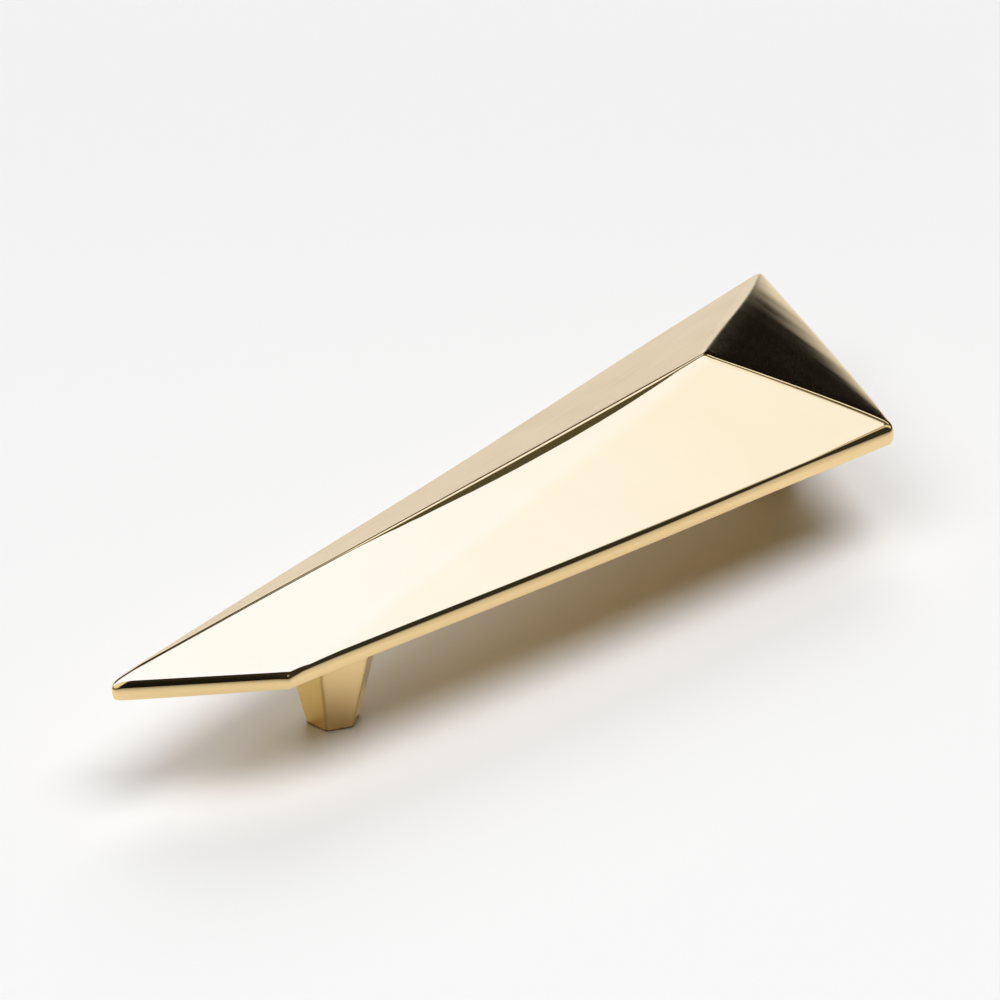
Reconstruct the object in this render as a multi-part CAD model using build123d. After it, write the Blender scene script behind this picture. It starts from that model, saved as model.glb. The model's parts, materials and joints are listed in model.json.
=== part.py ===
from build123d import *
from math import hypot, radians, tan
import os

# Faceted cabinet pull, cast and polished as one piece of solid brass.
# A low four-sided peak stands off centre on a thin upright rim, and two tapered six-sided
# legs hold the bar clear of the door. Sizes are millimetres and angles are degrees.
# The origin lies on the door face, midway between the two screw holes. X runs along the
# screw line towards the wide end, Y towards the long back edge, and Z out of the door.

# Screw holes, drilled and tapped up into each leg from its foot
hole_spacing = 128.0
tap_drill_diameter = 3.3
hole_depth = 12.0
drill_point_angle = 118.0

# Legs, six-sided, with two of the flats square to the screw line
leg_sides = 6
foot_across_flats = 8.9
leg_draft = 12.0
leg_edge_radius = 1.0
leg_root_radius = 1.5
foot_edge_radius = 0.3

# Heights: door face to the flat underside, the upright rim, and rim top to the peak
finger_clearance = 21.0
rim_height = 3.2
peak_rise = 13.5

# Plan of the bar before polishing: reach beyond the nearer leg, and offset from the screw line
tip_reach = 48.1
tip_offset = 10.6
front_corner_reach = 23.1
front_corner_offset = 11.7
end_front_setback = 3.3
end_front_offset = 33.9
end_back_reach = 32.4
end_back_offset = 29.7
peak_setback = 25.0
peak_offset = 2.6

# Edges: polishing rounds the ridges, corners and rim top alike, and the underside edge is broken
polish_radius = 1.0
underside_edge_radius = 0.3

# Places worked out from the sizes above
nose_leg_x = -hole_spacing / 2
wide_leg_x = hole_spacing / 2
rim_top = finger_clearance + rim_height
peak = Vector(wide_leg_x - peak_setback, -peak_offset)
plan_corners = [
    Vector(nose_leg_x - tip_reach, tip_offset),
    Vector(nose_leg_x - front_corner_reach, -front_corner_offset),
    Vector(wide_leg_x - end_front_setback, -end_front_offset),
    Vector(wide_leg_x + end_back_reach, end_back_offset),
]
bar_length = tip_reach + hole_spacing + end_back_reach


def side_block(start, finish):
    """Everything inboard of one edge of the plan: its upright wall and, above it, its facet.

    Both are drawn square to the edge, one polishing radius inside the finished surface, and run
    past both ends of the edge. The facet climbs from the rim top to the height of the peak.
    """
    along = finish - start
    inward = Vector(0, 0, 1).cross(along).normalized()
    slope = peak_rise / (peak - start).dot(inward)
    facet_drop = polish_radius * hypot(1, slope)
    bottom = finger_clearance - polish_radius
    wall_top = rim_top + slope * polish_radius - facet_drop
    far_top = rim_top + slope * bar_length - facet_drop
    section = Polygon(
        (bar_length, bottom),
        (polish_radius, bottom),
        (polish_radius, wall_top),
        (bar_length, far_top),
        align=None,
    )
    across = Plane(origin=(start + finish) / 2, x_dir=inward, z_dir=along)
    return extrude(across * section, bar_length, both=True)


def bar():
    """Sharp core shared by the four side blocks, grown by the polishing radius, cut flat below."""
    next_corners = plan_corners[1:] + plan_corners[:1]
    core, *others = [side_block(*edge) for edge in zip(plan_corners, next_corners)]
    for block in others:
        core = core & block
    grown = offset(core, polish_radius, kind=Kind.ARC)
    flat = split(grown, bisect_by=Plane.XY.offset(finger_clearance), keep=Keep.TOP)
    underside = flat.faces().sort_by(Axis.Z)[0]
    return fillet(underside.edges(), underside_edge_radius)


def leg(x):
    """Leg that widens by its draft from the foot to the underside, with its long edges rounded."""
    foot = RegularPolygon(
        foot_across_flats / 2, leg_sides, major_radius=False, rotation=180 / leg_sides
    )
    body = extrude(foot, finger_clearance, taper=-leg_draft)
    long_edges = body.edges().group_by(Axis.Z)[1]
    return Pos(x, 0) * fillet(long_edges, leg_edge_radius)


def screw_hole(x):
    """Tapping hole up from the foot, with the cone that the drill leaves at its end."""
    drill_radius = tap_drill_diameter / 2
    point_height = drill_radius / tan(radians(drill_point_angle / 2))
    half_section = Polygon(
        (0, 0),
        (drill_radius, 0),
        (drill_radius, hole_depth),
        (0, hole_depth + point_height),
        align=None,
    )
    return Pos(x, 0) * revolve(Plane.XZ * half_section, Axis.Z)


def pull():
    """Bar and legs as one casting: roots filleted, foot edges broken, feet drilled for screws."""
    body = bar() + leg(nose_leg_x) + leg(wide_leg_x)
    level = body.faces().filter_by_position(Axis.Z, finger_clearance, finger_clearance)
    underside = level.sort_by(SortBy.AREA)[-1]
    roots = [edge for wire in underside.inner_wires() for edge in wire.edges()]
    body = fillet(roots, leg_root_radius)
    feet = body.faces().group_by(Axis.Z)[0]
    body = fillet(feet.edges(), foot_edge_radius)
    return body - screw_hole(nose_leg_x) - screw_hole(wide_leg_x)


os.makedirs("parts", exist_ok=True)
export_step(pull(), "parts/pull_body.step")
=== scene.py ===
import json

import bpy
import numpy as np
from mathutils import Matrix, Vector


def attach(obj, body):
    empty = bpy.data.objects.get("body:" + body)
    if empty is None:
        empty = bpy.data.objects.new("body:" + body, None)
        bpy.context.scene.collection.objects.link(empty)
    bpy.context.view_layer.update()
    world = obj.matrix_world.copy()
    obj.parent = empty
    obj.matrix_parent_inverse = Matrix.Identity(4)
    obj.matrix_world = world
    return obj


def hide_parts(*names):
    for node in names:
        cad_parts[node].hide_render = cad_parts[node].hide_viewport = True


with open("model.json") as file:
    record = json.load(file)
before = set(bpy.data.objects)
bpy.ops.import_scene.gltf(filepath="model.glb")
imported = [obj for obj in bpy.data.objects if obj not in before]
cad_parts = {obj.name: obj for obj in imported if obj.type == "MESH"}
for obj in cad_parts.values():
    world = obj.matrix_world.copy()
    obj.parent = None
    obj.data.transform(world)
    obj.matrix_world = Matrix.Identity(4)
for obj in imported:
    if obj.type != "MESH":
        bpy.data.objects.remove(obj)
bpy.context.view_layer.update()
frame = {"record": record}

# A faceted cabinet pull of solid brass, cast, ground and polished as one piece.
# Shapes are worked out in millimetres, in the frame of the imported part: the door face at height
# zero, X along the screw line towards the wide end, Y towards the long back edge, Z out of the door.
MM = 0.001

# Screw holes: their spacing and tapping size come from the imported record
screw_holes = next(m for m in frame["record"]["mounts"] if m["name"] == "screw_holes")
half_spacing = screw_holes["dims"]["spacing_x_mm"] / 2
tapping_radius = screw_holes["dims"]["hole_r_mm"]
hole_depth = 12.0
drill_point_angle = 118.0
drill_point_lean = 0.5
mouth_radius = 2.1
thread_pitch = 0.7
thread_depth = 0.32
thread_length = 9.8

# Legs
leg_places = {"nose": -half_spacing, "wide": half_spacing}
leg_sides = 6
half_flat = np.pi / leg_sides
foot_inradius = 4.45
leg_draft = 12.0
leg_edge_radius = 1.0
leg_root_radius = 1.5
foot_edge_radius = 0.3

# Bar: heights, plan corners in order round the rim, and the peak.
# A side of the plan, named for the facet above it, runs from the corner of its number to the next.
underside = 21.0
rim_top = 24.2
peak = np.array([half_spacing - 25.0, -2.6, 37.7])
corners = np.array(
    [
        [-half_spacing - 48.1, 10.6],
        [-half_spacing - 23.1, -11.7],
        [half_spacing - 3.3, -33.9],
        [half_spacing + 32.4, 29.7],
    ]
)
NOSE, FRONT, END, BACK = range(len(corners))

# Rounding left by the polishing wheel on each edge
crease_radius = 14.0
ridge_radius = 2.0
front_hip_radius = 5.5
back_hip_radius = 1.6
hip_change_width = 2.0
upright_radius = np.array([1.5, 1.4, 2.6, 1.36])
underside_edge_radius = 0.3
wall_crown = 0.18

# Rounding of the rim's top edge, in order round the plan: side, share of its length, radius
rim_roundings = [
    (NOSE, 0.02, 1.5),
    (NOSE, 0.98, 1.5),
    (FRONT, 0.02, 1.05),
    (FRONT, 0.55, 1.05),
    (FRONT, 0.85, 0.65),
    (FRONT, 1.0, 1.8),
    (END, 0.15, 0.8),
    (END, 0.95, 2.0),
    (BACK, 0.02, 1.2),
    (BACK, 0.98, 1.2),
]

# The wheel also crowned the end facet and ran a narrow flat along the upper half of the ridge
end_roll_off = 5.6
end_band_narrow = 1.4
end_band_wide = 10.6
end_band_growth = 0.75
end_power_reach = 41.0
end_power_offset = 1.3
ridge_flat_turn = 8.0
ridge_flat_depth = 0.32
ridge_flat_widening = 0.45
ridge_flat_start = 0.36
ridge_flat_finish = 1.02

# The casting is not quite true: it bows towards the front at mid-length, its rim is deeper at the
# tip and the right corner, and its sides swell a little between the corners
bow_depth = 0.65
bow_centre = -8.0
bow_reach = 75.0
side_swell = np.array([0.0, 0.33, 0.26, 0.2])
rim_droop = 0.14
tip_droop_start = -80.0
tip_droop_reach = 28.0
corner_droop_reach = 40.0

# Fineness of the meshes: rows and columns, how strongly they crowd towards edges, and small steps
side_columns = 44
side_columns_per_mm = 0.4
side_crowding = 3.0
underside_insets = [2.0, 1.2, 0.7, 0.4, 0.25, 0.12, 0.05]
wall_rows = 22
wall_crowding = 1.6
facet_rows = 86
facet_crowding = 3.0
settling_steps = 12
slope_step = 1e-4
leg_columns_per_edge = 20
leg_crowding = 3.4
leg_angle_step = 1e-5
leg_root_rows = 12
leg_face_rows = 9
leg_face_last_row = 0.985
foot_edge_rows = 9
foot_rows = 5
rows_per_pitch = 6
weld_digits = 5

# Brass: linear colours, and how hazy each surface is left, from 0 for a mirror to 1 for satin
brass_colour = (0.89, 0.665, 0.34, 1.0)
brass_deep_colour = (0.883, 0.656, 0.33, 1.0)
# Brown of tarnish on the underside, foot face and screw holes, and of painted shade on the legs
tarnish_and_shade_colour = (0.22, 0.14, 0.035, 1.0)
mirror_roughness = 0.06
satin_roughness = 0.20
end_haze = 0.3
end_haze_start = 0.3
end_haze_reach = 1.2
back_haze_start = 0.25
back_haze_reach = 0.8
back_hip_haze = 0.45
back_hip_haze_reach = 3.5
rim_haze = 0.3
rim_haze_start = 0.8
rim_haze_reach = 0.8
leg_haze = 0.5

# Tarnish on the underside grows along X. On the legs, painted shade for the shadowed floor they
# reflect grows towards the feet and on their long edges
underside_tarnish = 0.35
underside_tarnish_start = -10.0
underside_tarnish_reach = 70.0
foot_painted_shade = 0.36
leg_edge_painted_shade = 0.28
tarnish_and_shade_roughness = 0.2

# Marks of the wheel. Clouds have so many features to the metre, and the hairlines and the end
# facet's waves so many to the millimetre, along and across the wheel's path. Depths are in metres.
cloud_features = (60.0, 60.0, 60.0)
cloud_detail = 3.0
cloud_range = (0.3, 0.7)
cloud_roughness = 0.01
hairline_features = (0.04, 1.6, 1.0)
hairline_detail = 2.0
hairline_range = (0.35, 0.75)
hairline_roughness = 0.03
hairline_depth = 2e-5
hairline_strength = 0.05
end_wheel_turn = 25.0
wave_features = (0.02, 0.13, 1.0)
wave_detail = 1.0
wave_reach = 2.0
wave_depth = 1.0e-4
wave_strength = 1.0


def unit(vectors):
    """Vectors scaled to a length of one."""
    return vectors / np.linalg.norm(vectors, axis=-1, keepdims=True)


# Sides of the plan: unit vectors along and into each, and the slope of the facet above it
sides = np.roll(corners, -1, axis=0) - corners
side_length = np.linalg.norm(sides, axis=1)
along = unit(sides)
inward = np.stack([-along[:, 1], along[:, 0]], axis=1)
peak_run = np.sum((peak[:2] - corners) * inward, axis=1)
slope = (peak[2] - rim_top) / peak_run
facet_normal = unit(np.column_stack([-slope[:, None] * inward, np.ones(len(corners))]))
downwards = np.array([0.0, 0.0, -1.0])


def crowded(count, strength):
    """Shares from 0 to 1 that crowd towards both ends: a hyperbolic tangent of even steps, scaled."""
    steps = np.linspace(-1.0, 1.0, count + 1)
    return 0.5 + 0.5 * np.tanh(strength * steps) / np.tanh(strength)


def share_past(value, start, reach):
    """Share of a reach by which a value has passed its start, held between 0 and 1."""
    return np.clip((value - start) / reach, 0.0, 1.0)


def smooth(share):
    """Cubic that leaves 0 and meets 1 level: three times the share's square less twice its cube."""
    return share**2 * (3.0 - 2.0 * share)


def soft_max(a, b, ease):
    """The larger of two fields, its corner replaced by a parabola where they differ by less than ease."""
    overlap = np.maximum(ease - np.abs(a - b), 0.0)
    return np.maximum(a, b) + overlap**2 / (4.0 * ease)


def ease_for(radius, turn):
    """How far apart two plane distances are where a fillet meets them: radius (1 - cos turn)."""
    return radius * (1.0 - np.cos(turn))


def turn_between(a, b):
    """Angle between two unit normals: the arc cosine of their dot product."""
    return np.arccos(np.clip(np.dot(a, b), -1.0, 1.0))


def facet_ease(radius, a, b):
    """Ease for an edge of this radius between two facets."""
    return ease_for(radius, turn_between(facet_normal[a], facet_normal[b]))


def side_depths(points):
    """Distance in from each side of the plan: the dot product with its inward vector, from its corner."""
    return points[..., :2] @ inward.T - np.sum(corners * inward, axis=1)


def facet_distances(points, depth):
    """Distance above each facet's plane: height over the rim less slope times depth, foreshortened."""
    return (points[..., 2:] - rim_top - slope * depth) / np.hypot(1.0, slope)


def end_lift(points, depth):
    """How far the crown lifts the end facet.

    It is the roll-off times (share - share to a power) / (power - 1), where share runs from 0 under
    the peak to 1 at the rim, so the facet rolls off by the same angle all along the rim. The power
    falls as the band that rolls off widens, from the right corner to the back one.
    """
    share = np.maximum(1.0 - depth[..., END] / peak_run[END], 0.0)
    run = np.clip((points[..., :2] - corners[END]) @ along[END] / side_length[END], 0.0, 1.0)
    band = end_band_narrow + (end_band_wide - end_band_narrow) * run**end_band_growth
    power = end_power_reach / band - end_power_offset
    return end_roll_off * (share - share**power) / (power - 1.0)


def roof_field(points, depth, climb):
    """Signed distance to the roof, nearly: the eased maximum of its facets' distances.

    The flat along the ridge is the nose facet turned a little towards the back facet, and cuts in
    by a sine of the climb from rim to peak. The two hips have eases of their own, and one gives way
    to the other where the front and back facets are about equally far off.
    """
    facet = facet_distances(points, depth)
    end_facet = facet[..., END] - end_lift(points, depth) / np.hypot(1.0, slope[END])

    ridge_turn = turn_between(facet_normal[NOSE], facet_normal[BACK])
    flat_turn = np.radians(ridge_flat_turn)
    nose_part = np.sin(ridge_turn - flat_turn) / np.sin(ridge_turn)
    back_part = np.sin(flat_turn) / np.sin(ridge_turn)
    flat_share = share_past(climb, ridge_flat_start, ridge_flat_finish - ridge_flat_start)
    flat_width = np.sin(np.pi * flat_share)
    cut = ridge_flat_depth * flat_width
    ridge_flat = nose_part * facet[..., NOSE] + back_part * facet[..., BACK] + cut
    ridge_ease = facet_ease(ridge_radius, NOSE, BACK) * (1.0 + ridge_flat_widening * flat_width)

    front_lead = share_past(facet[..., FRONT] - facet[..., BACK], -hip_change_width / 2, hip_change_width)
    back_hip_ease = facet_ease(back_hip_radius, END, BACK)
    front_hip_ease = facet_ease(front_hip_radius, END, FRONT)
    hip_ease = back_hip_ease + (front_hip_ease - back_hip_ease) * front_lead

    roof = soft_max(facet[..., NOSE], ridge_flat, ease_for(ridge_radius, flat_turn))
    roof = soft_max(roof, facet[..., FRONT], facet_ease(crease_radius, NOSE, FRONT))
    roof = soft_max(roof, facet[..., BACK], ridge_ease)
    return soft_max(roof, end_facet, hip_ease)


def bar_field(points, climb, rim_ease, upright_ease):
    """Signed distance to the bar, nearly: the eased maximum of roof, upright walls and underside.

    Each side swells between its corners by a sine, and each wall is crowned by the square of the
    height from its middle.
    """
    depth = side_depths(points)
    side_share = (points[..., :2] @ along.T - np.sum(corners * along, axis=1)) / side_length
    depth += side_swell * np.sin(np.pi * np.clip(side_share, 0.0, 1.0))
    tip_walls = soft_max(-depth[..., NOSE], -depth[..., BACK], upright_ease)
    right_walls = soft_max(-depth[..., FRONT], -depth[..., END], upright_ease)
    from_middle = (points[..., 2] - (rim_top + underside) / 2) / (rim_top - underside) * 2
    walls = soft_max(tip_walls, right_walls, upright_ease) + wall_crown * from_middle**2
    shell = soft_max(roof_field(points, depth, climb), walls, rim_ease)
    return soft_max(shell, underside - points[..., 2], underside_edge_radius)


def field_slope(points, *eases):
    """Gradient of the bar's field, by central differences over a small step."""
    steps = slope_step * np.eye(3)
    rise = [bar_field(points + s, *eases) - bar_field(points - s, *eases) for s in steps]
    return np.stack(rise, axis=-1) / (2 * slope_step)


def inset_corners(inset):
    """Corners of the plan moved in by an inset: where neighbouring walls cross after both move."""
    reach = np.sum(corners * inward, axis=1) + inset
    pair = np.stack([np.roll(inward, 1, axis=0), inward], axis=1)
    offsets = np.stack([np.roll(reach, 1), reach], axis=1)
    return np.linalg.solve(pair, offsets[..., None])[..., 0]


def plan_loop(inset, height, shares):
    """Points round the plan at an inset and height, dividing each side by its own shares."""
    starts = inset_corners(inset)
    finishes = np.roll(starts, -1, axis=0)
    loop = np.concatenate([a + (b - a) * s[:-1, None] for a, b, s in zip(starts, finishes, shares)])
    return np.column_stack([loop, np.full(len(loop), height)])


def bar_grid(shares):
    """Sharp-edged form on a grid, and each row's climb, the share of the way from rim to peak.

    Columns go round the plan. Rows go out along the underside, up the wall and straight to the
    peak, and crowd towards every edge.
    """
    lower = [plan_loop(inset, underside, shares) for inset in underside_insets]
    wall_heights = underside + (rim_top - underside) * crowded(wall_rows, wall_crowding)
    wall = [plan_loop(0.0, height, shares) for height in wall_heights]
    rim = plan_loop(0.0, rim_top, shares)
    climbs = crowded(facet_rows, facet_crowding)[1:]
    facet = [rim + (peak - rim) * c for c in climbs]
    climb = np.concatenate([np.zeros(len(lower) + len(wall)), climbs])[:, None]
    return np.stack(lower + wall + facet), climb


def edge_eases(shares):
    """Eases of the rim's top edge and of the upright corners at each column.

    Both run straight from station to station with the distance round the plan.
    """
    bounds = np.concatenate([[0.0], np.cumsum(side_length)])
    place = np.concatenate([b + s[:-1] * l for b, s, l in zip(bounds, shares, side_length)])
    rim_turn = np.pi / 2 - np.arctan(slope)
    rim_places = [bounds[side] + share * side_length[side] for side, share, _ in rim_roundings]
    rim_stations = [ease_for(radius, rim_turn[side]) for side, _, radius in rim_roundings]
    rim_ease = np.interp(place, rim_places, rim_stations, period=bounds[-1])
    wall_turn = [turn_between(inward[i - 1], inward[i]) for i in range(len(corners))]
    upright_stations = [ease_for(r, t) for r, t in zip(upright_radius, wall_turn)]
    upright_ease = np.interp(place, bounds[:-1], upright_stations, period=bounds[-1])
    return rim_ease, upright_ease


def wheel_path(points, side):
    """Place along and across the wheel's path: along each side, and turned from it on the end facet."""
    turn = np.radians(np.where(side == END, end_wheel_turn, 0.0))[:, None]
    path = np.cos(turn) * along[side] + np.sin(turn) * inward[side]
    across = np.cos(turn) * inward[side] - np.sin(turn) * along[side]
    from_corner = points[..., :2] - corners[side]
    return np.stack([np.sum(from_corner * axis, axis=-1) for axis in (path, across)], axis=-1)


def facet_finish(points):
    """How hazy the shell is, and how far the wheel's waves show on it.

    Haze is one on the back facet, some on the end facet, with more beside the back hip, some on the
    rim, and none on the two front facets. Waves show on the end facet alone. Each fades in with how
    far its facet's plane leads the others.
    """
    facet = facet_distances(points, side_depths(points))
    front = np.maximum(facet[..., NOSE], facet[..., FRONT])
    end_over_front = facet[..., END] - front
    end_over_back = facet[..., END] - facet[..., BACK]
    back_over_all = facet[..., BACK] - np.maximum(front, facet[..., END])
    end = share_past(end_over_front, end_haze_start, end_haze_reach)
    back = share_past(back_over_all, back_haze_start, back_haze_reach)
    near_back = 1.0 - share_past(end_over_back, 0.0, back_hip_haze_reach)
    haze = np.maximum((end_haze + back_hip_haze * near_back) * end, back)
    below = share_past(rim_top - points[..., 2], rim_haze_start, rim_haze_reach)
    waves = share_past(np.minimum(end_over_front, end_over_back), end_haze_start, wave_reach)
    return haze + (rim_haze - haze) * below, waves * (1.0 - below)


def untrue(points, normals):
    """The trued shape as it was cast: bowed along Y and with a rim that is deeper in two places.

    The bow is a raised cosine of x. The rim's depth below its top grows by a share that eases in
    towards the tip along x, and towards the right corner with the distance from it.
    """
    share = np.clip((points[..., 0] - bow_centre) / bow_reach, -1.0, 1.0)
    bow = bow_depth * (0.5 + 0.5 * np.cos(np.pi * share))
    bow_slope = -0.5 * np.pi * bow_depth / bow_reach * np.sin(np.pi * share)
    near_tip = share_past(tip_droop_start - points[..., 0], 0.0, tip_droop_reach)
    from_corner = np.linalg.norm(points[..., :2] - corners[END], axis=-1)
    near_corner = 1.0 - share_past(from_corner, 0.0, corner_droop_reach)
    droop = rim_droop * smooth(np.maximum(near_tip, near_corner))
    moved = points.copy()
    moved[..., 1] -= bow
    moved[..., 2] -= droop * np.maximum(rim_top - points[..., 2], 0.0)
    turned = normals.copy()
    turned[..., 0] += normals[..., 1] * bow_slope
    return moved, unit(turned)


def surface(points, normals, wheel, haze=1.0, tarnish=0.0, waves=0.0):
    """A grid of points and normals, its place along and across the wheel's path, and its finish."""
    cells = points.shape[:2]
    return {
        "points": points,
        "normals": np.broadcast_to(normals, points.shape),
        "wheel": wheel,
        "haze": np.broadcast_to(haze, cells),
        "tarnish": np.broadcast_to(tarnish, cells),
        "waves": np.broadcast_to(waves, cells),
    }


def bar_shell():
    """Upper shell of the bar, from the underside to the peak.

    The grid of the sharp-edged form slides down the gradient of the rounded field until the field is
    zero: each step is the gradient times the field over the gradient's square. Normals are that
    gradient.
    """
    counts = [int(side_columns + side_columns_per_mm * length) for length in side_length]
    shares = [crowded(count, side_crowding) for count in counts]
    points, climb = bar_grid(shares)
    eases = (climb, *edge_eases(shares))
    for _ in range(settling_steps):
        gradient = field_slope(points, *eases)
        step = bar_field(points, *eases) / np.sum(gradient**2, axis=-1)
        points = points - step[..., None] * gradient
    normals = field_slope(points, *eases)
    points[0, :, 2] = underside
    points[-1] = points[-1].mean(axis=0)
    normals[-1] = normals[-1].mean(axis=0)
    wheel = wheel_path(points, np.repeat(np.arange(len(corners)), counts))
    haze, waves = facet_finish(points)
    points, normals = untrue(points, unit(normals))
    return surface(points, normals, wheel, haze, waves=waves)


def polar(x, radius, angle, height):
    """Points at a radius, polar angle and height about the upright axis of the leg at x."""
    places = (x + radius * np.cos(angle), radius * np.sin(angle), height)
    return np.stack(np.broadcast_arrays(*places), axis=-1)


def arc(x, z, radius, angle):
    """Arc of a profile about a centre: x plus radius times cosine, and z plus radius times sine."""
    return np.stack([x + radius * np.cos(angle), z + radius * np.sin(angle)])


def leg_angles():
    """Polar angles of a leg's columns, crowding at its corners as a hyperbolic sine of even steps."""
    steps = np.linspace(-1.0, 1.0, leg_columns_per_edge, endpoint=False)
    near_corner = half_flat * np.sinh(leg_crowding * steps) / np.sinh(leg_crowding)
    corner_angles = half_flat + 2 * half_flat * np.arange(leg_sides)
    return (corner_angles[:, None] + near_corner).ravel()


def angle_off_flat(angle):
    """Angle from the middle of the nearest flat of a leg."""
    return np.abs((angle + half_flat) % (2 * half_flat) - half_flat)


def flat_end(inradius, edge_radius):
    """Angle from the middle of a flat to where its rounded edge starts, by the tangent."""
    return np.arctan((inradius - edge_radius) * np.tan(half_flat) / inradius)


def rounded_hexagon(angle, inradius, edge_radius):
    """Distance from the leg's axis to a six-sided outline with rounded corners, at each polar angle.

    Away from a corner it is inradius / cos(angle off the flat's middle). Near a corner it is where the
    ray meets the corner's circle: c cos(b) + sqrt(r^2 - c^2 sin(b)^2), with b the angle off the corner.
    """
    off_flat = angle_off_flat(angle)
    off_corner = half_flat - off_flat
    corner_at = (inradius - edge_radius) / np.cos(half_flat)
    inside = np.maximum(edge_radius**2 - (corner_at * np.sin(off_corner)) ** 2, 0.0)
    on_corner = corner_at * np.cos(off_corner) + np.sqrt(inside)
    return np.where(off_flat < flat_end(inradius, edge_radius), inradius / np.cos(off_flat), on_corner)


def leg_outside(x):
    """Outer surface of a leg: rounded hexagons whose inradius follows a profile from bar to foot.

    The profile is a concave quarter-round under the bar, a straight drafted face, and a convex round
    at the foot. The outline's corner radius grows and shrinks by as much as the rounds stand off the
    face. Painted shade, for the shadowed floor the leg reflects near its foot, falls evenly from the
    foot up, and on the long edges a painted dark reflection grows by the square of the share past
    the flat's end. The foot's own edge is painted fully dark, a painted reflection of contact shadow.
    """
    draft = np.radians(leg_draft)
    root = np.linspace(np.pi / 2, np.pi - draft, leg_root_rows)
    root_z = underside - leg_root_radius
    root_x = foot_inradius + root_z * np.tan(draft) + leg_root_radius / np.cos(draft)
    root_round = arc(root_x, root_z, leg_root_radius, root)
    foot = np.linspace(-draft, -np.pi / 2, foot_edge_rows)
    foot_x = foot_inradius + foot_edge_radius * np.tan(draft) - foot_edge_radius / np.cos(draft)
    foot_round = arc(foot_x, foot_edge_radius, foot_edge_radius, foot)
    face_shares = np.append(np.linspace(0.0, 1.0, leg_face_rows)[1:-1], leg_face_last_row)
    face = root_round[:, -1:] + (foot_round[:, :1] - root_round[:, -1:]) * face_shares
    inradius, height = np.concatenate([root_round, face, foot_round], axis=1)[..., None]
    lean = np.concatenate([root + np.pi, np.full(len(face_shares), -draft), foot])[:, None]
    edge_radius = leg_edge_radius + inradius - (foot_inradius + height * np.tan(draft))

    angle = leg_angles()
    radius = rounded_hexagon(angle, inradius, edge_radius)
    wider = rounded_hexagon(angle + leg_angle_step, inradius, edge_radius)
    narrower = rounded_hexagon(angle - leg_angle_step, inradius, edge_radius)
    turn = np.arctan2((wider - narrower) / (2 * leg_angle_step), radius)
    points = polar(x, radius, angle, height)
    normals = polar(0.0, np.cos(lean), angle - turn, np.sin(lean))
    wheel = np.stack(np.broadcast_arrays(height, angle * foot_inradius), axis=-1)

    edge_start = flat_end(foot_inradius, leg_edge_radius)
    on_edge = share_past(angle_off_flat(angle), edge_start, half_flat - edge_start) ** 2
    # Painted shade: darker towards the foot, a painted dark reflection on the long edges, and the foot's
    # edge painted fully dark
    tarnish = foot_painted_shade * (1.0 - height / underside) + leg_edge_painted_shade * on_edge
    tarnish = np.where(height < foot_edge_radius, 1.0, tarnish)
    return surface(points, normals, wheel, leg_haze, tarnish)


def foot_face(x, outline):
    """Flat foot between the leg's outline and the mouth of the screw hole, divided evenly."""
    mouth = polar(x, mouth_radius, leg_angles(), 0.0)
    shares = np.linspace(0.0, 1.0, foot_rows)[:, None, None]
    points = outline + (mouth - outline) * shares
    return surface(points, downwards, points[..., :2], tarnish=1.0)


def screw_thread(x):
    """Countersunk, threaded wall of the screw hole and the cone that the drill left.

    The wall's radius is the tapping radius plus a wave of the thread's depth, whose phase is the
    height in pitches less the angle in turns, so that the wave winds up the hole as a helix. At the
    cone's tip the normals lean in by a set share of what they point down.
    """
    angle = leg_angles()
    sink = mouth_radius - tapping_radius
    thread_end = sink + thread_length
    rows = np.linspace(sink, thread_end, int(thread_length / thread_pitch * rows_per_pitch))
    height = np.concatenate([[0.0], rows, [hole_depth]])[:, None]
    phase = height / thread_pitch - angle / (2 * np.pi)
    wave = 0.5 - 0.5 * np.cos(2 * np.pi * phase)
    fade = share_past(height, sink, thread_pitch) * share_past(thread_end - height, 0.0, thread_pitch)
    radius = tapping_radius + thread_depth * wave * fade + np.where(height == 0.0, sink, 0.0)
    point_height = tapping_radius / np.tan(np.radians(drill_point_angle / 2))
    wall = polar(x, radius, angle, height)
    tip = polar(x, 0.0 * angle, angle, hole_depth + point_height)
    wave_slope = thread_depth * fade * np.pi * np.sin(2 * np.pi * phase) / thread_pitch
    wall_normals = polar(0.0, -1.0, angle, wave_slope)
    tip_normals = polar(0.0, -drill_point_lean, angle, -1.0)
    points = np.concatenate([wall, tip[None]])
    normals = unit(np.concatenate([wall_normals, tip_normals[None]]))
    return surface(points, normals, points[..., :2], tarnish=1.0)


def grid_triangles(rows, columns, first):
    """Two triangles for every cell of a grid that closes on itself along its rows."""
    row, column = np.mgrid[: rows - 1, :columns]
    beside = (column + 1) % columns
    a, b = row * columns + column, row * columns + beside
    c, d = a + columns, b + columns
    triangles = np.concatenate([np.stack([a, b, d], -1), np.stack([a, d, c], -1)])
    return first + triangles.reshape(-1, 3)


def stitch(outer, inner, points, axis_x):
    """Triangles, facing down, between two closed rings round an upright axis.

    The vertices of both rings are taken in order of polar angle. Each one makes a triangle with the
    last vertex met on either ring.
    """
    def by_angle(ring):
        angle = np.arctan2(points[ring, 1], points[ring, 0] - axis_x)
        order = np.argsort(angle)
        return ring[order], angle[order]

    outer, outer_angle = by_angle(outer)
    inner, inner_angle = by_angle(inner)
    order = np.argsort(np.concatenate([outer_angle, inner_angle]))
    from_outer = order < len(outer)
    outer_now = outer[np.cumsum(from_outer) - 1]
    inner_now = inner[np.cumsum(~from_outer) - 1]
    met = np.where(from_outer, outer_now, inner_now)
    return np.stack([np.roll(inner_now, 1), met, np.roll(outer_now, 1)], axis=-1)


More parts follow.
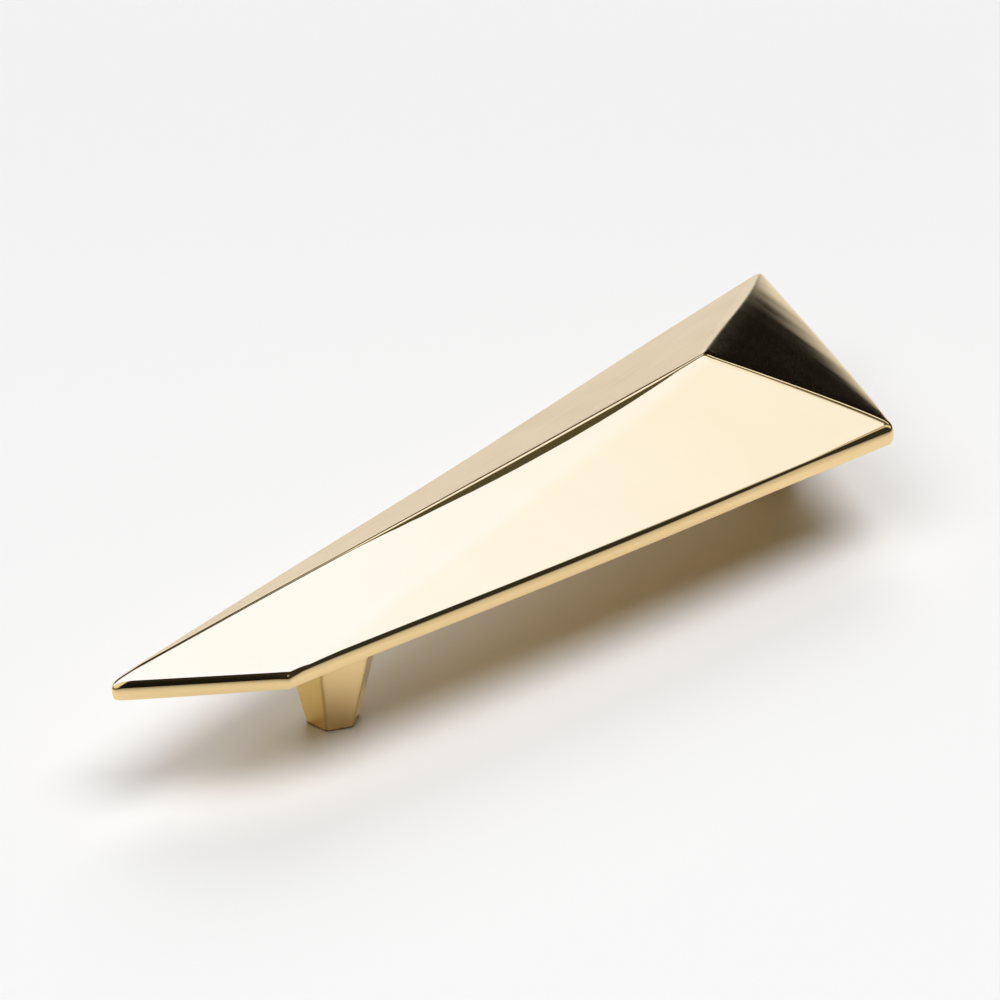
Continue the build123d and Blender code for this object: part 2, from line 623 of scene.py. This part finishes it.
def joined(grids, label):
    """One kind of value of every grid, end to end."""
    values = [grid[label] for grid in grids.values()]
    return np.concatenate([v.reshape(-1, *v.shape[2:]) for v in values])


def pull_mesh():
    """The whole pull as one closed mesh: shell, legs and holes, stitched across the flat underside.

    The underside is cut in two where its rim is nearest to mid-length, and each half is stitched to
    the ring round its own leg. It has vertices of its own, because its normals and finish differ.
    """
    grids = {"bar": bar_shell()}
    for leg, x in leg_places.items():
        grids[leg] = leg_outside(x)
        grids[leg + "_foot"] = foot_face(x, grids[leg]["points"][-1])
        grids[leg + "_hole"] = screw_thread(x)
    shapes = {name: grid["points"].shape[:2] for name, grid in grids.items()}
    firsts = dict(zip(grids, np.cumsum([0] + [rows * columns for rows, columns in shapes.values()])))
    triangles = [grid_triangles(*shapes[name], firsts[name]) for name in grids]
    triangles[1:] = [t[:, ::-1] for t in triangles[1:]]

    points = joined(grids, "points")
    ring = np.arange(shapes["bar"][1])
    off_middle = np.abs(points[ring, 0])
    in_front = points[ring, 1] < 0.0
    split_front = int(np.argmin(np.where(in_front, off_middle, np.inf)))
    split_back = int(np.argmin(np.where(in_front, np.inf, off_middle)))
    halves = {
        "nose": np.concatenate([ring[split_back:], ring[: split_front + 1]]),
        "wide": ring[split_front : split_back + 1],
    }
    roots = {leg: firsts[leg] + np.arange(shapes[leg][1]) for leg in leg_places}
    flat = np.concatenate([stitch(halves[leg], roots[leg], points, x) for leg, x in leg_places.items()])
    used, renumbered = np.unique(flat, return_inverse=True)
    triangles.append(len(points) + renumbered.reshape(flat.shape))
    copies = points[used][None]
    dulled = smooth(share_past(copies[..., 0], underside_tarnish_start, underside_tarnish_reach))
    grids["underside"] = surface(copies, downwards, copies[..., :2], tarnish=underside_tarnish * dulled)
    return {label: joined(grids, label) for label in grids["bar"]}, np.concatenate(triangles)


def welded_object(name, values, triangles):
    """Puts a triangle mesh into Blender with one vertex per place.

    Face corners carry the worked-out normals, the wheel's path and the finish.
    """
    places, same = np.unique(np.round(values["points"], weld_digits), axis=0, return_inverse=True)
    corner = same.reshape(-1)[triangles]
    whole = np.all(corner != np.roll(corner, 1, axis=1), axis=1)
    corner, source = corner[whole], triangles[whole]
    mesh = bpy.data.meshes.new(name)
    mesh.vertices.add(len(places))
    mesh.vertices.foreach_set("co", (places * MM).astype(np.float32).ravel())
    mesh.loops.add(corner.size)
    mesh.loops.foreach_set("vertex_index", corner.astype(np.int32).ravel())
    mesh.polygons.add(len(corner))
    mesh.polygons.foreach_set("loop_start", np.arange(0, corner.size, 3, dtype=np.int32))
    mesh.polygons.foreach_set("use_smooth", np.ones(len(corner), bool))
    mesh.update(calc_edges=True)
    for label in ("haze", "tarnish", "waves"):
        carried = mesh.attributes.new(label, "FLOAT", "CORNER")
        carried.data.foreach_set("value", values[label][source].astype(np.float32).ravel())
    wheel = mesh.uv_layers.new(name="wheel")
    wheel.uv.foreach_set("vector", values["wheel"][source].astype(np.float32).ravel())
    mesh.normals_split_custom_set(values["normals"][source].reshape(-1, 3).astype(np.float32))
    made = bpy.data.objects.new(name, mesh)
    bpy.context.scene.collection.objects.link(made)
    return made


def feed(tree, socket, value):
    """Links a socket to another node's output, or sets it to a plain value."""
    if isinstance(value, bpy.types.NodeSocket):
        tree.links.new(value, socket)
    else:
        socket.default_value = value


def arithmetic(tree, operation, a, b):
    """One Math node."""
    node = tree.nodes.new("ShaderNodeMath")
    node.operation = operation
    feed(tree, node.inputs[0], a)
    feed(tree, node.inputs[1], b)
    return node.outputs[0]


def component(tree, vector, axis):
    """Length of a vector along an axis, by dot product."""
    node = tree.nodes.new("ShaderNodeVectorMath")
    node.operation = "DOT_PRODUCT"
    feed(tree, node.inputs[0], vector)
    node.inputs[1].default_value = axis
    return node.outputs["Value"]


def ramp(tree, value, start, finish, low=0.0, high=1.0, shape="SMOOTHSTEP"):
    """Rise from low at start to high at finish: a smooth step, or straight where its shape is LINEAR."""
    node = tree.nodes.new("ShaderNodeMapRange")
    node.interpolation_type = shape
    feed(tree, node.inputs["Value"], value)
    node.inputs["From Min"].default_value = start
    node.inputs["From Max"].default_value = finish
    node.inputs["To Min"].default_value = low
    node.inputs["To Max"].default_value = high
    return node.outputs["Result"]


def window(tree, value, low, high, soft):
    """One between low and high and nothing outside, with soft edges: a rise times a fall."""
    opens = ramp(tree, value, low - soft, low + soft)
    shuts = ramp(tree, value, high + soft, high - soft)
    return arithmetic(tree, "MULTIPLY", opens, shuts)


def panel(tree, a, a_limits, b, b_limits):
    """One inside a soft-edged rectangle: a window of one value times a window of another."""
    return arithmetic(tree, "MULTIPLY", window(tree, a, *a_limits), window(tree, b, *b_limits))


def grey(value):
    """A neutral colour."""
    return (value, value, value, 1.0)


def blend(tree, factor, a, b):
    """Mixes two colours by a factor."""
    node = tree.nodes.new("ShaderNodeMix")
    node.data_type = "RGBA"
    sockets = {s.identifier: s for s in node.inputs}
    feed(tree, sockets["Factor_Float"], factor)
    feed(tree, sockets["A_Color"], a)
    feed(tree, sockets["B_Color"], b)
    return next(s for s in node.outputs if s.identifier == "Result_Color")


def noise(tree, place, features, detail):
    """Noise at a place, with so many features to its unit of length along each axis."""
    mapping = tree.nodes.new("ShaderNodeMapping")
    feed(tree, mapping.inputs["Vector"], place)
    mapping.inputs["Scale"].default_value = features
    node = tree.nodes.new("ShaderNodeTexNoise")
    feed(tree, node.inputs["Vector"], mapping.outputs["Vector"])
    node.inputs["Scale"].default_value = 1.0
    node.inputs["Detail"].default_value = detail
    return node.outputs["Fac"]


def bump(tree, height, depth, strength):
    """One Bump node, in which a height of one is this deep."""
    node = tree.nodes.new("ShaderNodeBump")
    node.inputs["Strength"].default_value = strength
    node.inputs["Distance"].default_value = depth
    feed(tree, node.inputs["Height"], height)
    return node


def attribute(tree, name):
    """A number carried by the mesh."""
    node = tree.nodes.new("ShaderNodeAttribute")
    node.attribute_name = name
    return node.outputs["Fac"]


def polished_brass():
    """Solid brass off the buffing wheel.

    Its colour varies a little in clouds, and gives way to brown with tarnish and with painted shade,
    which darkens the legs towards their feet and along their long edges. Roughness rises from mirror
    to satin with haze, and a little with clouds, hairlines, tarnish and painted shade. Hairlines all
    over and waves on the end facet are noise drawn out along the wheel's path, and bump the surface.
    """
    material = bpy.data.materials.new("polished_brass")
    material.use_nodes = True
    tree = material.node_tree
    shader = tree.nodes["Principled BSDF"]
    shader.inputs["Metallic"].default_value = 1.0
    haze = attribute(tree, "haze")
    tarnish = attribute(tree, "tarnish")
    place = tree.nodes.new("ShaderNodeTexCoord")
    clouds = noise(tree, place.outputs["Object"], cloud_features, cloud_detail)
    hairlines = noise(tree, place.outputs["UV"], hairline_features, hairline_detail)
    waves = noise(tree, place.outputs["UV"], wave_features, wave_detail)

    colour = blend(tree, ramp(tree, clouds, *cloud_range), brass_colour, brass_deep_colour)
    feed(tree, shader.inputs["Base Color"], blend(tree, tarnish, colour, tarnish_and_shade_colour))

    rough = ramp(tree, haze, 0.0, 1.0, mirror_roughness, satin_roughness)
    extras = [
        ramp(tree, clouds, *cloud_range, -cloud_roughness, cloud_roughness),
        ramp(tree, hairlines, *hairline_range, 0.0, hairline_roughness),
        ramp(tree, tarnish, 0.0, 1.0, 0.0, tarnish_and_shade_roughness),
    ]
    for extra in extras:
        rough = arithmetic(tree, "ADD", rough, extra)
    feed(tree, shader.inputs["Roughness"], rough)

    end_waves = arithmetic(tree, "MULTIPLY", waves, attribute(tree, "waves"))
    wavy = bump(tree, end_waves, wave_depth, wave_strength)
    brushed = bump(tree, hairlines, hairline_depth, hairline_strength)
    feed(tree, brushed.inputs["Normal"], wavy.outputs["Normal"])
    feed(tree, shader.inputs["Normal"], brushed.outputs["Normal"])
    return material


pull = welded_object("polished_pull", *pull_mesh())
pull.data.materials.append(polished_brass())
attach(pull, "root")
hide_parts("pull_body")

# Camera: degrees and millimetres
camera_azimuth = 48.116
camera_elevation = 28.728
camera_distance = 1098.0
camera_aim = Vector((19.69, 33.27, 0.0)) * MM
camera_lens = 198.0
sensor_width = 36.0

# Floor, in metres, painted a little brighter on the viewer's side of the camera's aim: painted light
# that falls off further away
floor_radius = 0.9
floor_sides = 96
floor_near = 0.945
floor_far = 0.896
floor_fade = 0.21

# Floor as the metal reflects it: painted shade dims it by a power of the distance out from the bar's
# nose and front sides, and a painted pool of light, brighter than white, lies under the bar beside the
# near leg. The patch lies between limits off the nose side, with a soft edge, and fades in between two
# distances off the front side.
dimming_start = 0.031
dimming_power = 0.45
patch_off_nose = (-0.033, -0.012, 0.003)
patch_off_front = (-0.008, -0.014)
painted_light_colour = (1.34, 1.35, 1.08, 1.0)

# Lamps on the floor and object: degrees right of straight back, elevation, spread, and the share of
# the floor's light
lamps = {
    "right_lamp": (97.0, 73.0, 40.0, 0.480),
    "left_lamp": (222.0, 56.0, 48.0, 0.300),
    "back_lamp": (0.0, 35.0, 34.0, 0.173),
}
ambient_share = 0.01
backdrop_white = 0.9

# Studio that the metal reflects, each panel drawn over those before it: low, high and softness of its
# limits in two measures, and its linear colour. Wall panels are measured by heading, in radians right
# of straight back, and by the sine of elevation.
studio_dark = (0.008, 0.008, 0.007, 1.0)
side_panel_colour = (0.85, 0.83, 0.78, 1.0)
every_height = (-2.0, 2.0, 0.1)
wall_panels = {
    "front_wall": ((1.0, 2.9, 0.15), every_height, (0.035, 0.034, 0.03, 1.0)),
    "back_wall": ((-1.0, 0.9, 0.25), (0.42, 0.72, 0.06), (0.09, 0.085, 0.055, 1.0)),
    "back_strip": ((-0.2, 0.02, 0.025), (0.24, 0.44, 0.02), (1.2, 1.28, 1.5, 1.0)),
    "hip_strip": ((0.3, 0.75, 0.03), (0.42, 0.495, 0.012), (1.3, 1.36, 1.5, 1.0)),
    "left_front": ((-3.0, -1.7, 0.15), (0.35, 0.9, 0.1), side_panel_colour),
    "right_back": ((0.92, 1.3, 0.08), (0.3, 0.78, 0.06), side_panel_colour),
    "left_back": ((-1.35, -0.7, 0.1), (0.3, 0.7, 0.06), side_panel_colour),
}

# Panels overhead are measured by how far they lie to the right and beyond, over their height
overhead_panels = {
    "right_front": ((0.45, 0.8, 0.05), (-1.1, -0.5, 0.05), (0.55, 0.53, 0.5, 1.0)),
    "overhead": ((-1.6, -0.03, 0.03), (-0.7, 0.3, 0.05), (0.95, 0.92, 0.86, 1.0)),
}
least_height = 0.02

# The ceiling's colour goes from stop to stop with its fall, a sum of parts of both measures
ceiling_across = (-1.6, 0.66, 0.03)
ceiling_beyond = (0.2, 1.17, 0.03)
ceiling_fall_across = 2.91
ceiling_fall_beyond = 2.22
ceiling_stops = [1.8, 2.82, 3.2]
ceiling_colours = [(1.2, 1.485, 2.68, 1.0), (1.1, 1.3, 1.9, 1.0), (1.1, 1.235, 1.63, 1.0)]

# Pale glow low on the horizon, by the sine of elevation
glow_top = 0.052
glow_bottom = -0.05
glow_softness = 0.006
glow_dim = 0.2

azimuth = np.radians(camera_azimuth)
elevation = np.radians(camera_elevation)
away = Vector((np.sin(azimuth), np.cos(azimuth), 0.0))
right = Vector((np.cos(azimuth), -np.sin(azimuth), 0.0))
up = Vector((0.0, 0.0, 1.0))


def add_camera():
    """Long lens aimed at a point on the door face, set back along the photographed line of sight."""
    forward = away * np.cos(elevation) - up * np.sin(elevation)
    lens = bpy.data.cameras.new("camera")
    lens.lens = camera_lens
    lens.sensor_width = sensor_width
    made = bpy.data.objects.new("camera", lens)
    made.location = camera_aim - forward * camera_distance * MM
    made.rotation_euler = forward.to_track_quat("-Z", "Y").to_euler()
    bpy.context.scene.collection.objects.link(made)
    bpy.context.scene.camera = made


def floor_colour(tree, place):
    """Pale colour of the floor, and for glossy rays what it looks like in the metal.

    In the metal it is darkened by painted shade, (start / distance out) to a power, where the distance
    is the larger of those off the nose and front sides, and the painted pool of light beside the near
    leg is laid over it.
    """
    # Painted light: the floor's colour brightens towards the viewer
    beyond = component(tree, place, away)
    centre = camera_aim.dot(away)
    share = ramp(tree, beyond, centre - floor_fade, centre + floor_fade)
    pale = blend(tree, share, grey(floor_near), grey(floor_far))
    out = {}
    for side in (NOSE, FRONT):
        outward = Vector((*-inward[side], 0.0))
        side_at = outward.dot((*corners[side], 0.0)) * MM
        out[side] = arithmetic(tree, "SUBTRACT", component(tree, place, outward), side_at)
    # Painted shade that dims the reflected floor away from the bar, and a painted pool of light beside
    # the near leg
    farther = arithmetic(tree, "MAXIMUM", out[NOSE], out[FRONT])
    ratio = arithmetic(tree, "DIVIDE", dimming_start, arithmetic(tree, "MAXIMUM", farther, dimming_start))
    dimmed = blend(tree, arithmetic(tree, "POWER", ratio, dimming_power), grey(0.0), pale)
    off_nose = window(tree, out[NOSE], *patch_off_nose)
    off_front = ramp(tree, out[FRONT], *patch_off_front)
    mirrored = blend(tree, arithmetic(tree, "MULTIPLY", off_nose, off_front), dimmed, painted_light_colour)
    glossy = tree.nodes.new("ShaderNodeLightPath").outputs["Is Glossy Ray"]
    return blend(tree, glossy, pale, mirrored)


def floor_clear(tree, place):
    """One where the floor is clear: seen from below, and in a circle under each foot."""
    off_middle = arithmetic(tree, "ABSOLUTE", component(tree, place, (1.0, 0.0, 0.0)), 0.0)
    off_leg = arithmetic(tree, "SUBTRACT", off_middle, half_spacing * MM)
    off_line = component(tree, place, (0.0, 1.0, 0.0))
    squares = [arithmetic(tree, "MULTIPLY", off, off) for off in (off_leg, off_line)]
    foot_reach = (foot_inradius - foot_edge_radius) * MM
    under_foot = arithmetic(tree, "LESS_THAN", arithmetic(tree, "ADD", *squares), foot_reach**2)
    from_below = tree.nodes.new("ShaderNodeNewGeometry").outputs["Backfacing"]
    return arithmetic(tree, "MAXIMUM", from_below, under_foot)


def add_floor():
    """Plain, pale, matt floor under the feet: a disc."""
    turn = np.linspace(0.0, 2 * np.pi, floor_sides, endpoint=False)
    edge = floor_radius * np.column_stack([np.cos(turn), np.sin(turn), 0.0 * turn])
    mesh = bpy.data.meshes.new("floor")
    mesh.from_pydata(edge.tolist(), [], [list(range(len(edge)))])
    made = bpy.data.objects.new("floor", mesh)
    bpy.context.scene.collection.objects.link(made)
    material = bpy.data.materials.new("floor")
    material.use_nodes = True
    tree = material.node_tree
    shader = tree.nodes["Principled BSDF"]
    shader.inputs["Roughness"].default_value = 1.0
    shader.inputs["Specular IOR Level"].default_value = 0.0
    place = tree.nodes.new("ShaderNodeTexCoord").outputs["Object"]
    feed(tree, shader.inputs["Base Color"], floor_colour(tree, place))
    clear = tree.nodes.new("ShaderNodeBsdfTransparent")
    either = tree.nodes.new("ShaderNodeMixShader")
    feed(tree, either.inputs[0], floor_clear(tree, place))
    feed(tree, either.inputs[1], shader.outputs["BSDF"])
    feed(tree, either.inputs[2], clear.outputs["BSDF"])
    feed(tree, tree.nodes["Material Output"].inputs["Surface"], either.outputs[0])
    mesh.materials.append(material)


def add_lamps():
    """Soft lamps, the same over the whole floor.

    A lamp's disc at unit distance has the tangent of half its spread as radius, R. Its light falls on
    the floor with a mean cosine of sin(elevation) times 2 (sqrt(1 + R^2) - 1) / R^2.
    """
    for name, (*degrees, share) in lamps.items():
        side, rise, spread = np.radians(degrees)
        disc = np.tan(spread / 2)
        cosine = np.sin(rise) * 2 * (np.hypot(1.0, disc) - 1) / disc**2
        lamp = bpy.data.lights.new(name, "SUN")
        lamp.angle = spread
        lamp.energy = np.pi * share / cosine
        made = bpy.data.objects.new(name, lamp)
        source = (away * np.cos(side) + right * np.sin(side)) * np.cos(rise) + up * np.sin(rise)
        made.rotation_euler = (-source).to_track_quat("-Z", "Y").to_euler()
        made.visible_glossy = False
        bpy.context.scene.collection.objects.link(made)


def studio_colour(tree):
    """What the metal reflects, by direction: a dark studio with panels, a ceiling and a low glow."""
    direction = tree.nodes.new("ShaderNodeTexCoord").outputs["Generated"]
    height, to_right, to_back = [component(tree, direction, axis) for axis in (up, right, away)]
    heading = arithmetic(tree, "ARCTAN2", to_right, to_back)
    safe_height = arithmetic(tree, "MAXIMUM", height, least_height)
    across, beyond = [arithmetic(tree, "DIVIDE", part, safe_height) for part in (to_right, to_back)]

    seen = studio_dark
    for a, b, panels in ((heading, height, wall_panels), (across, beyond, overhead_panels)):
        for a_limits, b_limits, colour in panels.values():
            seen = blend(tree, panel(tree, a, a_limits, b, b_limits), seen, colour)

    fall_across = arithmetic(tree, "MULTIPLY", across, ceiling_fall_across)
    fall_beyond = arithmetic(tree, "MULTIPLY", beyond, ceiling_fall_beyond)
    fall = arithmetic(tree, "ADD", fall_across, fall_beyond)
    ceiling_colour = ceiling_colours[0]
    for start, finish, colour in zip(ceiling_stops, ceiling_stops[1:], ceiling_colours[1:]):
        share = ramp(tree, fall, start, finish, shape="LINEAR")
        ceiling_colour = blend(tree, share, ceiling_colour, colour)
    ceiling = panel(tree, across, ceiling_across, beyond, ceiling_beyond)
    seen = blend(tree, ceiling, seen, ceiling_colour)

    glow = blend(tree, ramp(tree, height, glow_top, glow_bottom), grey(glow_dim), grey(backdrop_white))
    low = ramp(tree, height, glow_top + glow_softness, glow_top - glow_softness)
    return blend(tree, low, seen, glow)


def add_world():
    """White to the camera, the studio to polished metal, and faint even light to everything else."""
    world = bpy.data.worlds.new("studio")
    bpy.context.scene.world = world
    world.use_nodes = True
    tree = world.node_tree
    tree.nodes.clear()
    light_path = tree.nodes.new("ShaderNodeLightPath")
    plain = blend(tree, light_path.outputs["Is Camera Ray"], grey(ambient_share), grey(backdrop_white))
    colour = blend(tree, light_path.outputs["Is Glossy Ray"], plain, studio_colour(tree))
    background = tree.nodes.new("ShaderNodeBackground")
    feed(tree, background.inputs["Color"], colour)
    output = tree.nodes.new("ShaderNodeOutputWorld")
    feed(tree, output.inputs["Surface"], background.outputs[0])


add_camera()
add_floor()
add_lamps()
add_world()
bpy.context.scene.view_settings.view_transform = "Standard"
